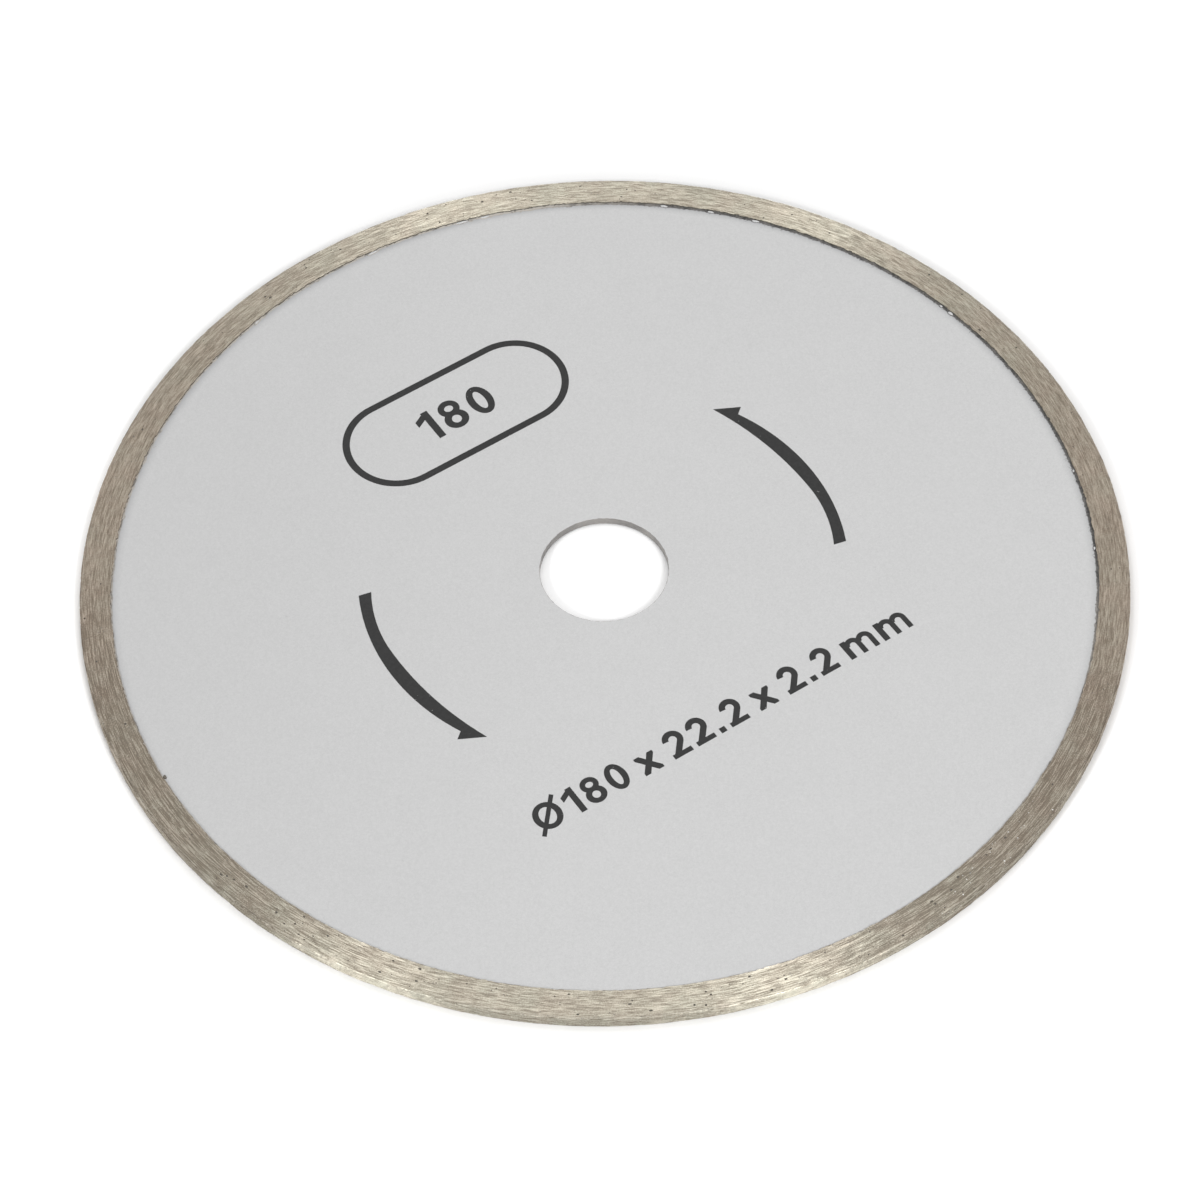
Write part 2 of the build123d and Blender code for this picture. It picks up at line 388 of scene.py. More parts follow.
def sector(start, stop, soft=10.0):
    """1 between two directions in degrees from +X, fading to 0 over the soft degrees beyond them."""
    off = (np.degrees(turns) - (start + stop) / 2 + 180) % 360 - 180
    share = np.clip((np.abs(off) - (stop - start) / 2) / soft, 0, 1)
    return 1 - share * share * (3 - 2 * share)


def on_circle(radius, angle):
    return np.stack([radius * np.cos(angle), radius * np.sin(angle)], -1)


def inside_ring(points, ring):
    """Which points lie within a star-shaped ring of radii round the blade's axis."""
    count = len(ring)
    step = 2 * np.pi / count
    angle = np.arctan2(points[:, 1], points[:, 0]) % (2 * np.pi)
    first = (angle / step).astype(int) % count
    corners = on_circle(ring, np.arange(count) * step)
    p, q = corners[first], corners[(first + 1) % count]
    side = (q[:, 0] - p[:, 0]) * (points[:, 1] - p[:, 1]) - (q[:, 1] - p[:, 1]) * (points[:, 0] - p[:, 0])
    return side > 0


def flat_ring(outer, inner, holes):
    """Triangles of the flat face between two wavering rings, with holes cut in it. Returns the
    points and the triangles; the outer ring's points come first, then the inner's, then each hole's."""
    loops = [on_circle(outer, even_turns(len(outer))), on_circle(inner, even_turns(len(inner))), *holes]
    points = np.concatenate(loops)
    edges, first = [], 0
    for loop in loops:
        count = len(loop)
        edges += [(first + k, first + (k + 1) % count) for k in range(count)]
        first += count
    got = delaunay_2d_cdt([Vector(p) for p in points.tolist()], edges, [], 0, 1e-7)
    origin = {k: old[0] for k, old in enumerate(got[3]) if old}
    assert len(got[0]) == len(points) and len(origin) == len(points), "the face's outline crosses itself"
    faces = np.array([[origin[k] for k in face] for face in got[2]])
    middle = points[faces].mean(1)
    keep = inside_ring(middle, outer) & ~inside_ring(middle, inner)
    for hole in holes:
        centre = hole.mean(0)
        near = np.hypot(*(middle - centre).T) < np.hypot(*(hole - centre).T).max()
        for k in np.nonzero(near & keep)[0]:
            ahead = np.roll(hole, -1, 0) - hole
            off = middle[k] - hole
            if (ahead[:, 0] * off[:, 1] - ahead[:, 1] * off[:, 0] > 0).all():
                keep[k] = False
    return points, faces[keep]


def pit_outline(dice, radius, angle, size, stretch):
    """An uneven rounded outline, drawn out along the rim, anticlockwise."""
    around = even_turns(PIT_CORNERS)
    reach = size / 2 * dice.uniform(0.72, 1.0, PIT_CORNERS)
    along, across = reach * np.cos(around) * stretch, reach * np.sin(around)
    out, side = np.array([math.cos(angle), math.sin(angle)]), np.array([-math.sin(angle), math.cos(angle)])
    return radius * out - along[:, None] * side + across[:, None] * out


def pit_places(seed, number, sizes, low, high, taken):
    """Pits that keep clear of the rim's edges and of each other, thickest where the bond is weakest."""
    dice = np.random.default_rng(seed)
    weak = SOUND_BOND + (1 - SOUND_BOND) * np.maximum(sector(*WEAK_SIDES[0]), sector(*WEAK_SIDES[1]))
    found = []
    while len(found) < number:
        size = dice.uniform(*sizes)
        radius, angle = dice.uniform(low + size, high - size), dice.uniform(0, 2 * np.pi)
        if dice.uniform() > weak[int(angle / (2 * np.pi) * STATIONS) % STATIONS]:
            continue
        centre = on_circle(radius, angle)
        if all(np.hypot(*(centre - other)) > (size + width) * 0.9 for other, width in taken):
            taken.append((centre, size))
            found.append((radius, angle, size))
    return dice, found


def rim_face(seed, outer, inner):
    """One ground face at height 0 with its pits sunk in it: points, triangles and their materials."""
    taken, holes, depths = [], [], []
    for number, sizes in FACE_PITS:
        dice, found = pit_places(seed, number, sizes, inner.max() + 0.1, outer.min() - 0.1, taken)
        for radius, angle, size in found:
            holes.append(pit_outline(dice, radius, angle, size, dice.uniform(1.0, 1.8)))
            depths.append(size * PIT_DEPTH)
    flat, faces = flat_ring(outer, inner, holes)
    points = [np.column_stack([flat, np.zeros(len(flat))])]
    triangles, bonds = [faces], [GROUND] * len(faces)
    first, count = len(outer) + len(inner), len(flat)
    for hole, depth in zip(holes, depths):
        middle = hole.mean(0)
        floor = middle + (hole - middle) * PIT_FLOOR
        points += [np.column_stack([floor, np.full(PIT_CORNERS, -depth)]), [[*middle, -depth * PIT_TIP]]]
        for k in range(PIT_CORNERS):
            n = (k + 1) % PIT_CORNERS
            a, b, c, d = first + k, first + n, count + k, count + n
            triangles.append([(a, b, c), (b, d, c), (c, d, count + PIT_CORNERS)])
            bonds += [BROKEN] * 3
        first += PIT_CORNERS
        count += PIT_CORNERS + 1
    return np.concatenate(points), np.concatenate(triangles), bonds


def closed_band(rings):
    """Quads that join each ring of stations to the next, given as lists of point numbers."""
    quads = []
    for one, two in zip(rings, rings[1:]):
        quads += [(one[k], two[k], two[(k + 1) % STATIONS], one[(k + 1) % STATIONS]) for k in range(STATIONS)]
    return quads


rim_points, rim_faces, rim_bonds = [], [], []


def add_points(block):
    """Adds points to the rim and gives their numbers."""
    first = len(rim_points)
    rim_points.extend(block.tolist())
    return list(range(first, len(rim_points)))


def add_faces(block, bonds):
    rim_faces.extend(tuple(int(k) for k in face) for face in block)
    rim_bonds.extend(bonds)


def ring_points(radius, height):
    flat = on_circle(np.broadcast_to(radius, STATIONS), turns)
    return add_points(np.column_stack([flat, np.broadcast_to(height, STATIONS)]))


outer_edge = RIM_OUTER - 0.06 + ripple(11, *OUTLINE_WAVER)
front_outer = outer_edge - EDGE_ROUND[0][0] + ripple(12, *EDGE_FRAY)
back_outer = outer_edge - EDGE_ROUND[0][0] + ripple(14, *EDGE_FRAY)
front_inner = RIM_FOOT + 0.06 * sector(-35, 60) + ripple(16, *FOOT_FRAY) + bites(17, *FOOT_CHIPS)
back_inner = RIM_FOOT + ripple(18, *FOOT_FRAY) + bites(19, *FOOT_CHIPS)

face_rings = {}
for side, outer, inner, seed in ((1, front_outer, front_inner, 21), (-1, back_outer, back_inner, 22)):
    block, triangles, bonds = rim_face(seed, outer, inner)
    numbers = add_points(np.column_stack([block[:, :2], side * (RIM_FACE + block[:, 2])]))
    triangles = triangles + numbers[0]
    add_faces(triangles if side > 0 else triangles[:, ::-1], bonds)
    face_rings[side] = (numbers[:STATIONS], numbers[STATIONS:2 * STATIONS])

nicks = bites(13, *EDGE_NICKS)
wall = [face_rings[1][0]]
for inward, below in EDGE_ROUND[1:]:
    wall.append(ring_points(outer_edge - inward + ripple(31, *BEVEL_FRAY) - nicks, RIM_FACE - below))
for level, seed in WALL_LEVELS:
    wall.append(ring_points(outer_edge + ripple(seed, *WALL_FRAY), level))
for inward, below in EDGE_ROUND[:0:-1]:
    wall.append(ring_points(outer_edge - inward + ripple(32, *BEVEL_FRAY), -RIM_FACE + below))
wall.append(face_rings[-1][0])
quads = [quad[::-1] for quad in closed_band(wall)]
add_faces(quads, [DRESSED] * len(quads))

foot_front = [face_rings[1][1], ring_points(front_inner + ripple(41, *FOOT_WALL_FRAY), CORE_FACE)]
foot_back = [ring_points(back_inner + ripple(42, *FOOT_WALL_FRAY), -CORE_FACE), face_rings[-1][1]]
groove = [foot_front[1]]
for radius, level in ((GROOVE_MOUTH, CORE_FACE), (GROOVE_MOUTH, TONGUE_FACE), (TONGUE_EDGE, TONGUE_FACE),
                      (TONGUE_EDGE, -TONGUE_FACE), (GROOVE_MOUTH, -TONGUE_FACE), (GROOVE_MOUTH, -CORE_FACE)):
    groove.append(ring_points(radius, level))
groove.append(foot_back[0])
for rings in (foot_front, groove, foot_back):
    quads = closed_band(rings)
    add_faces(quads, [BROKEN] * len(quads))
rim = new_piece("ground_rim", rim_points, rim_faces)

# Each set of strokes has its own length and width, and its own centre off the blade's axis, in mm.
FINE_STROKES = {"Length": 2.0, "Width": 0.14, "Off X": 2.0, "Off Y": 1.0, "Seed": 2.0}
CROSSED_STROKES = {"Length": 2.7, "Width": 0.21, "Off X": -3.5, "Off Y": 2.5, "Seed": 5.0}
BROAD_STROKES = {"Length": 9.0, "Width": 0.7, "Off X": 1.0, "Off Y": -3.0, "Seed": 7.0}
THIN_STROKES = {"Length": 3.6, "Width": 0.12, "Off X": 0.5, "Off Y": 0.5, "Seed": 11.0}
STROKE_LEAN = 0.35
# Each side below is a direction, the two values of Board.toward between which it comes in, and,
# where it isn't a plain mask, the values that it goes between.
# painted shade: the bond on these two sides is darker, less metallic and grittier
SHADED_WORN_SIDES = ((175, 0.86, 0.98), (287, 0.86, 0.98))
# painted highlights: the wall's bond is lighter on these two narrow sides, and the face's outer edge isn't
# darkened there
HIGHLIGHT_SIDES = ((211.6, 0.980, 0.995), (261.6, 0.980, 0.995))
SCORED_SIDE = (237.6, 0.2, 0.6, 0.0, 0.56)
CALM_SIDE = (230.0, 0.93, 0.98, 0.0, 0.48)
HIGHLIGHT_TINT_LINE = 52.6  # painted highlight tint: the bond is cooler and more neutral along this line through the axis, which runs to and from the eye, and warmer square to it
SCORE_DEPTH = 0.84
GRIT = 0.28
GRIT_SHADE = -0.187
WORN_SIDE_SHADE = 0.06
BOND_SPAN = (0.41, 0.59)
BROWN_TINT, OLIVE_TINT = (1.0, 0.975, 0.955, 1), (0.98, 1.0, 0.98, 1)
OFF_LINE_TINT, HIGHLIGHT_TINT = (1.0, 0.970, 0.975, 1), (0.975, 1.025, 1.045, 1)
# painted shade: the face's bond darkens from the first of these radii to the second, by the outer edge
EDGE_SHADE = ((RIM_OUTER - 0.65) * MM, (RIM_OUTER - 0.15) * MM)
BOND_IOR = 2.0


def strokes(board, length, width, off_x, off_y, seed):
    """Scratches left by the grinding wheel, in mm: straight thin streaks on circles round a centre
    that lies a little off the blade's own, so that they cross the rim at a slight slant."""
    scaled = board.vector("SCALE", board.place(), Scale=1 / MM)
    x, y, z = board.split(board.vector("SUBTRACT", scaled, board.point(off_x, off_y)))
    far = board.off_axis(x, y)
    round_about = board.math("DIVIDE", RIM_FOOT, board.math("MULTIPLY", far, length))
    across = board.math("DIVIDE", board.math("ADD", far, z), width)
    streaked = board.point(board.math("MULTIPLY", x, round_about), board.math("MULTIPLY", y, round_about),
                           board.math("ADD", across, seed))
    return board.noise(streaked, scale=1.0, detail=2.0, roughness=0.6)


scratches, board, given, end = new_group("scratches", FINE_STROKES, ["Value"])
board.feed(strokes(board, *(given[name] for name in FINE_STROKES)), end.inputs["Value"])

specks, board, given, end = new_group("specks", {"Spacing": 1.0, "Size": 0.3, "Seed": 0.0}, ["Mask"])
shifted = board.vector("ADD", board.place(), board.point(given["Seed"], given["Seed"]))
closeness = board.math("DIVIDE", 1 / MM, given["Spacing"])
cells = board.add("ShaderNodeTexVoronoi", Vector=shifted, Scale=closeness, Randomness=1.0)
radius = board.math("DIVIDE", given["Size"], board.math("MULTIPLY", given["Spacing"], 2.0))
own = board.add("ShaderNodeSeparateColor", in0=cells.outputs["Color"]).outputs[0]
radius = board.math("MULTIPLY", radius, own)
mask = board.math("SUBTRACT", 1.0, board.math("DIVIDE", cells.outputs["Distance"], radius), clamp=True)
board.feed(board.spread(mask, 0.0, 0.35), end.inputs["Mask"])


def ground_tone(board, fine, crossed, grain, worn_and_shaded):
    """How bright the streaks are. On the two sides of wear they are fainter and grittier, and
    darker as painted shade, and thin scratches run over them there and on the scored side."""
    broad = use(board, scratches, **BROAD_STROKES)["Value"]
    thin = use(board, scratches, **THIN_STROKES)["Value"]
    tone = board.add_up((crossed, 0.30), (fine, 0.36), (broad, 0.10), (grain, 0.24))
    fainter = board.spread(worn_and_shaded, 0.0, 1.0, 1.0, 0.75)
    tone = board.math("MULTIPLY_ADD", board.math("SUBTRACT", tone, 0.5), fainter, 0.5)
    scored = board.math("SUBTRACT", board.side(*SCORED_SIDE), board.side(*CALM_SIDE))
    scored = board.math("MAXIMUM", worn_and_shaded, scored)
    thin = board.math("MULTIPLY_ADD", thin, SCORE_DEPTH, -SCORE_DEPTH / 2)
    tone = board.math("MULTIPLY_ADD", scored, thin, tone)
    # painted shade: on the two shaded sides the grit also lowers the tone
    gritty = board.math("MULTIPLY_ADD", grain, GRIT, GRIT_SHADE)
    return board.math("MULTIPLY_ADD", worn_and_shaded, gritty, tone)


def lean_strokes(board, shader, x, y, far):
    """Turns the shader's tangent a little in or out, stroke by stroke."""
    crossed = strokes(board, *CROSSED_STROKES.values())
    fine = strokes(board, *FINE_STROKES.values())
    lean = board.math("MULTIPLY", board.math("SUBTRACT", crossed, fine), STROKE_LEAN)
    outward = board.vector("SCALE", board.point(x, y), Scale=board.math("DIVIDE", lean, far))
    along = board.add("ShaderNodeTangent", {"direction_type": "RADIAL", "axis": "Z"}).outputs[0]
    board.feed(board.vector("ADD", along, outward), shader.inputs["Tangent"])


def bond_material(name, dark, light, dull_metal, roughness, anisotropy, streak_depth, speck_share, edge_shade_share,
                  highlight_lift=0.0):
    """Ground or broken bond: two tones streaked along the rim, with brown and olive clouds and dark
    specks. Smoother streaks shine more, and each set of them leans its own way, so that the shine
    breaks up into crossed strokes. Over these come painted shade on two sides and, where asked,
    along the outer edge, painted highlights on two narrow sides, and a cooler painted highlight
    tint along the line to the eye."""
    made, board, end = new_material(name)
    fine = use(board, scratches, **FINE_STROKES)["Value"]
    crossed = use(board, scratches, **CROSSED_STROKES)["Value"]
    cloud = use(board, mottle, Size=5.0, Seed=1.0)["Value"]
    grain = use(board, mottle, Size=0.22, Seed=4.0)["Value"]
    speck = use(board, specks, Spacing=0.8, Size=0.3, Seed=9.0)["Mask"]
    # painted shade: two sides of the bond, gritty with wear, are darker and less metallic
    worn_and_shaded = board.math("MAXIMUM", *(board.side(*side) for side in SHADED_WORN_SIDES))
    # painted highlights: two narrow sides where the lamps' fans fall are lighter, and the edge shade is left
    # off there
    painted_highlight = board.math("MAXIMUM", *(board.side(*side) for side in HIGHLIGHT_SIDES))
    tone = ground_tone(board, fine, crossed, grain, worn_and_shaded)
    bright = board.spread(board.math("MULTIPLY_ADD", painted_highlight, highlight_lift, tone), *BOND_SPAN)
    tint = board.blend(board.spread(cloud, *MOTTLE_MIDDLE), BROWN_TINT, OLIVE_TINT)
    # painted highlight tint: cooler and more neutral along the line to the eye, warmer square to it
    highlight_tint_share = board.spread(board.math("ABSOLUTE", board.toward(HIGHLIGHT_TINT_LINE)), 0.2, 0.95)
    colour = board.blend(bright, dark, light)
    for share in (tint, board.blend(highlight_tint_share, OFF_LINE_TINT, HIGHLIGHT_TINT)):
        colour = board.blend(1.0, colour, share, "MULTIPLY")
    x, y, z = board.split(board.place())
    far = board.off_axis(x, y)
    # painted shade: the bond darkens over the last half millimetre before the outer edge
    edge = board.spread(far, *EDGE_SHADE, 0.0, edge_shade_share)
    edge = board.math("MULTIPLY", edge, board.math("SUBTRACT", 1.0, painted_highlight))
    # the real dark specks, together with the painted shade of the outer edge and of the two shaded sides
    specks_and_shade = board.math("MULTIPLY_ADD", speck, speck_share, edge)
    specks_and_shade = board.math("MULTIPLY_ADD", worn_and_shaded, WORN_SIDE_SHADE, specks_and_shade, clamp=True)
    colour = board.blend(specks_and_shade, colour, grey(0.10, 0.12))
    metal = board.spread(bright, 0.0, 1.0, dull_metal, 1.0)
    metal = board.math("MULTIPLY", metal, board.math("SUBTRACT", 1.0, specks_and_shade))
    rough = board.spread(bright, 0.0, 1.0, roughness + 0.06, roughness - 0.04)
    height = board.add_up((fine, 1.0), (crossed, 1.2), (grain, 0.3))
    shader = finish_material(board, end, colour, rough, height, streak_depth, Metallic=metal, IOR=BOND_IOR,
                             Anisotropic=anisotropy, Anisotropic_Rotation=0.25)
    lean_strokes(board, shader, x, y, far)
    return made


ground_bond = bond_material(
    "ground_bond", dark=(0.205, 0.162, 0.114, 1), light=(0.56, 0.500, 0.415, 1), dull_metal=0.42,
    roughness=0.448, anisotropy=1.0, streak_depth=0.022, speck_share=0.6, edge_shade_share=0.22)
dressed_bond = bond_material(
    "dressed_bond", dark=(0.22, 0.180, 0.138, 1), light=(0.60, 0.545, 0.458, 1), dull_metal=0.95,
    roughness=0.455, anisotropy=1.0, streak_depth=0.022, speck_share=0.5, edge_shade_share=0.0, highlight_lift=0.05)
broken_bond = bond_material(
    "broken_bond", dark=(0.08, 0.070, 0.056, 1), light=(0.20, 0.175, 0.142, 1), dull_metal=0.0,
    roughness=0.75, anisotropy=0.0, streak_depth=0.03, speck_share=0.3, edge_shade_share=0.0)
for bond in (ground_bond, dressed_bond, broken_bond):
    rim.data.materials.append(bond)
rim.data.polygons.foreach_set("material_index", np.array(rim_bonds, np.int32))
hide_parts("diamond_rim")
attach(rim, "root")


# ---------------------------------------------------------------------------------------
# Diamond crystals sit in the bond and are worn almost flush with it. They are small, grey
# to straw yellow, and most only show when a facet catches the light. Some are coloured near
# white as painted glints, more of them on one side, where a few larger fresh ones lie too.
# ---------------------------------------------------------------------------------------
CRYSTALS = 900
FRESH_CRYSTALS = 14
FRESH_SIDE = 285
FRESH_REACH = 0.045  # of a whole turn
FRESH_GROWTH = 0.07
GLINT_FROM = (FRESH_SIDE, 0.960, 0.985, 0.67, 0.42)  # a crystal is coloured near white, as a painted glint, from this value of its own
CRYSTAL_HALF = (0.05, 0.15)
CRYSTAL_SUNK = (0.3, 0.72)  # how deep its middle sits, of that half
ON_FRONT = 0.36  # shares of all crystals: the rest past ON_A_FACE are on the outer wall
ON_A_FACE = 0.72


def rounded_crystal():
    """The corners of a crystal with twenty facets, one unit from its middle, and those facets."""
    golden = (1 + math.sqrt(5)) / 2
    corners = [v for a in (-1, 1) for b in (-golden, golden) for v in ((0, a, b), (a, b, 0), (b, 0, a))]
    solid = bpy.data.meshes.new("shape")
    form = bmesh.new()
    for corner in corners:
        form.verts.new(corner)
    bmesh.ops.convex_hull(form, input=form.verts)
    form.to_mesh(solid)
    form.free()
    unit = np.array([v.co for v in solid.vertices]) / math.hypot(1, golden)
    facets = np.array([p.vertices[:] for p in solid.polygons])
    bpy.data.meshes.remove(solid)
    return unit, facets


unit, facets = rounded_crystal()
dice = np.random.default_rng(61)
points, triangles = [], []
for number in range(CRYSTALS + FRESH_CRYSTALS):
    half = dice.uniform(*CRYSTAL_HALF)
    angle = dice.uniform(0, 2 * np.pi)
    place = dice.uniform()
    if number >= CRYSTALS:
        half += FRESH_GROWTH
        angle, place = math.radians(FRESH_SIDE) + (angle - np.pi) * FRESH_REACH, 0.0
    sunk = half * dice.uniform(*CRYSTAL_SUNK)
    if place < ON_A_FACE:
        side = 1 if place < ON_FRONT else -1
        proud = 0.0 if side > 0 else half - sunk
        centre = (dice.uniform(RIM_FOOT + 0.4, RIM_OUTER - 0.6), side * (RIM_FACE - sunk - proud))
    else:
        centre = (RIM_OUTER - 0.08 - sunk, dice.uniform(-0.8, 0.8))
    spun = Matrix.Rotation(dice.uniform(0, 6.28), 3, Vector(dice.normal(size=3)).normalized())
    lump = (unit * dice.uniform(0.75, 1.0, (len(unit), 1))) @ np.array(spun) * half
    triangles.append(facets + len(unit) * number)
    points.append(lump + [centre[0] * math.cos(angle), centre[0] * math.sin(angle), centre[1]])
grit = new_piece("crystals", np.concatenate(points), np.concatenate(triangles).tolist())

crystal, board, end = new_material("crystal")
own = use(board, mottle, Size=0.9, Seed=6.0)["Value"]
other = use(board, mottle, Size=1.3, Seed=26.0)["Value"]
colour = board.blend(board.spread(own, *MOTTLE_MIDDLE), (0.22, 0.20, 0.15, 1), (0.60, 0.56, 0.42, 1))
# painted glints: some crystals are coloured near white
clear = board.math("GREATER_THAN", other, board.side(*GLINT_FROM))
colour = board.blend(clear, colour, (0.93, 0.93, 0.90, 1))
finish_material(board, end, colour, board.spread(own, *MOTTLE_SPAN, 0.12, 0.35), IOR=2.0)
grit.data.materials.append(crystal)
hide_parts("diamond_grit")
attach(grit, "root")


# ---------------------------------------------------------------------------------------
# Both faces of the core carry a sprayed coat of light grey paint, matt, with the fine
# orange-peel of spray. Towards one side it is painted darker as painted shade, more so further
# out, and along the rim's foot it darkens as painted shade from the step, most on the side away
# from the eye. A mask keeps it off the rim, so its edge is ragged, chipped, and drawn back on one side.
# ---------------------------------------------------------------------------------------
COAT_TOP = 0.75
COAT_UNDER = 0.70
COAT_ROUND = 0.02
COAT_GAP = 0.2
COAT_FRAY = (0.03, 18, 0.6)
DRAWN_SIDE = (-40, 65, 14)
DRAWN_GAP = 0.12
DRAWN_FRAY = (0.1, 9, 0.5)
BACK_GAP = 0.22
BACK_FRAY = (0.04, 18, 0.6)
BORE = 11.1
BORE_GAP = 0.04
BORE_STATIONS = 360
BORE_FRAY = (0.02, 40, 8)
COAT_CHIPS = ((0.4, 1.8), (0.05, 0.25))  # how wide and how deep
SMALL_CHIPS = ((0.3, 1.0), (0.04, 0.15))
CHIPPED_SIDE = (60, 150)
SHADED_COAT_SIDE = (150, 0.2, 0.95, 0.0, 0.11)
FOOT_SHADE_SIDE = (53, -0.75, 0.4, 0.02, 0.62)
FOOT_SHADE_FROM, FOOT_SHADE_TO = (RIM_FOOT - 2.1) * MM, (RIM_FOOT - 0.4) * MM


def coat(name, node, side, outer, inner):
    """One flat film with a slightly rounded rim at both of its edges."""
    top, triangles = flat_ring(outer - COAT_ROUND, inner + COAT_ROUND, [])
    low_outer, low_inner = on_circle(outer, turns), on_circle(inner, even_turns(len(inner)))
    count, near = len(outer), len(inner)
    rings = [np.column_stack([top, np.full(len(top), COAT_TOP)])]
    for level in (COAT_TOP - COAT_ROUND, COAT_UNDER):
        rings.append(np.column_stack([low_outer, np.full(count, level)]))
        rings.append(np.column_stack([low_inner, np.full(near, level)]))
    spots = np.concatenate(rings)
    whole = count + near
    faces = [tuple(t) for t in triangles.tolist()]
    for step in (0, 1):
        for first, size, turned in ((0, count, 1), (count, near, 0)):
            upper, lower = first + step * whole, first + (step + 1) * whole
            for k in range(size):
                n = (k + 1) % size
                quad = (upper + k, lower + k, lower + n, upper + n)
                faces.append(quad if turned else quad[::-1])
    faces += [tuple(t) for t in (triangles[:, ::-1] + 2 * whole).tolist()]
    if side < 0:
        spots[:, 2] *= -1
        faces = [face[::-1] for face in faces]
    made = new_piece(name, spots, faces)
    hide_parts(node)
    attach(made, "root")
    return made


around_bore = even_turns(BORE_STATIONS)
drawn_back = sector(*DRAWN_SIDE) * (DRAWN_GAP + np.abs(ripple(58, *DRAWN_FRAY)))
front_edge = (RIM_FOOT - COAT_GAP - drawn_back + ripple(51, *COAT_FRAY)
              - bites(52, 22, *COAT_CHIPS, *CHIPPED_SIDE) - bites(53, 14, *SMALL_CHIPS))
back_edge = RIM_FOOT - BACK_GAP + ripple(54, *BACK_FRAY) - bites(55, 30, *COAT_CHIPS)
front_bore = BORE + BORE_GAP + ripple(56, *BORE_FRAY, around_bore)
back_bore = BORE + BORE_GAP + ripple(57, *BORE_FRAY, around_bore)
front_coat = coat("front_coat", "front_paint", 1, front_edge, front_bore)
back_coat = coat("back_coat", "back_paint", -1, back_edge, back_bore)

coat_paint, board, end = new_material("coat_paint")
peel = use(board, mottle, Size=0.45, Seed=8.0)["Value"]
dust = use(board, mottle, Size=0.16, Seed=10.0)["Value"]
patch = use(board, mottle, Size=7.0, Seed=12.0)["Value"]
nib = use(board, specks, Spacing=5.0, Size=0.5, Seed=14.0)["Mask"]
tone = board.add_up((peel, 0.4), (dust, 0.52), (patch, 0.08))
colour = board.blend(board.spread(tone, *MOTTLE_MIDDLE), grey(0.575), grey(0.668))
colour = board.blend(board.math("MULTIPLY", nib, 0.15), colour, grey(0.3))
x, y, z = board.split(board.place())
far = board.off_axis(x, y)
# painted shade: the paint darkens towards one side, more so further from the axis
thin = board.math("MULTIPLY", board.side(*SHADED_COAT_SIDE), board.spread(far, 0.0, 80 * MM))
colour = board.blend(thin, colour, grey(0.3))
# painted shade: the paint darkens towards the rim's foot, strongly on the side away from the eye and barely
# on the near side
foot_shade = board.math("POWER", board.spread(far, FOOT_SHADE_FROM, FOOT_SHADE_TO), 2.2)
foot_shade = board.math("MULTIPLY", foot_shade, board.side(*FOOT_SHADE_SIDE))
colour = board.blend(foot_shade, colour, (0.33, 0.335, 0.345, 1))
finish_material(board, end, colour, board.spread(peel, *MOTTLE_SPAN, 0.55, 0.7), peel, 0.012)
front_coat.data.materials.append(coat_paint)
back_coat.data.materials.append(coat_paint)


# ---------------------------------------------------------------------------------------
# A crust of flux and squeezed-out bond fills the corner at the rim's foot, dark on one side
# and wiped to a pale film elsewhere. Its darkness is partly painted shade for that corner,
# deepest right against the rim and paler out on the paint. Here and there it has run out over
# the paint as fine whiskers, paint has pooled on it in drops, and one crumb of bond is stuck beside it.
# ---------------------------------------------------------------------------------------
CRUST_TOP = 0.86
CRUST_LUMPS = (0.018, 3, 0.5)
CRUST_CREST = (0.05, 5, 0.5)
CRUSTED_SIDE = (6, 0.50, 0.76, 1.0, 0.0)
WHISKER_SPANS = (((-34, 2), 60), ((0, 50), 45), ((60, 150), 14))  # between which directions, and how many
DROPS = (  # direction, length and width
    (86.2, 2.0, 0.5), (74.2, 2.2, 0.5), (71.2, 1.8, 0.45), (48.7, 1.5, 0.45),
    (42.8, 1.1, 0.4), (37.0, 1.5, 0.45), (8.6, 1.3, 0.5), (10.2, 0.7, 0.35),
    (-19.8, 0.6, 0.35), (104.0, 1.2, 0.4), (-31.5, 0.8, 0.35),
)
DROP_HEIGHT = 0.27
DROP_SEED = 90
DROP_RADIUS = RIM_FOOT - 0.24
SKIRT_LONGER, SKIRT_WIDER, SKIRT_HEIGHT = 0.34, 0.26, 0.15  # the dark skirt of crust under each drop
DROP_RINGS = ((1.0, 0.0), (0.97, 0.35), (0.8, 0.75), (0.45, 0.96))  # share of its size, share of its height
DROP_CORNERS = 20
DROP_SUNK = 0.04
WHISKER_SHARES = (0.0, 0.35, 0.7, 1.0)


def joined(name, blocks, material):
    """One piece from (points in mm, faces) blocks."""
    spots, faces, first = [], [], 0
    for block, some in blocks:
        spots.append(block)
        faces += [tuple(int(k) + first for k in face) for face in some]
        first += len(block)
    made = new_piece(name, np.concatenate(spots), faces)
    made.data.materials.append(material)
    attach(made, "root")


def crust(side, paint_edge, foot, seed):
    """A lumpy fillet from the paint's edge up the rim's foot, as a closed ring."""
    rows = ((paint_edge - 0.05, COAT_UNDER), (paint_edge - 0.05, COAT_TOP - 0.03),
            ((paint_edge + foot) / 2, COAT_TOP - 0.01 + ripple(seed, *CRUST_LUMPS)),
            (foot + 0.03, CRUST_TOP + ripple(seed + 1, *CRUST_CREST)), (foot + 0.12, COAT_UNDER))
    block = np.concatenate([np.column_stack([on_circle(radius, turns), np.broadcast_to(level, STATIONS)])
                            for radius, level in rows])
    block[:, 2] *= side
    loop = [range(k * STATIONS, (k + 1) * STATIONS) for k in (*range(len(rows)), 0)]
    quads = closed_band(loop)
    return block, quads if side < 0 else [quad[::-1] for quad in quads]


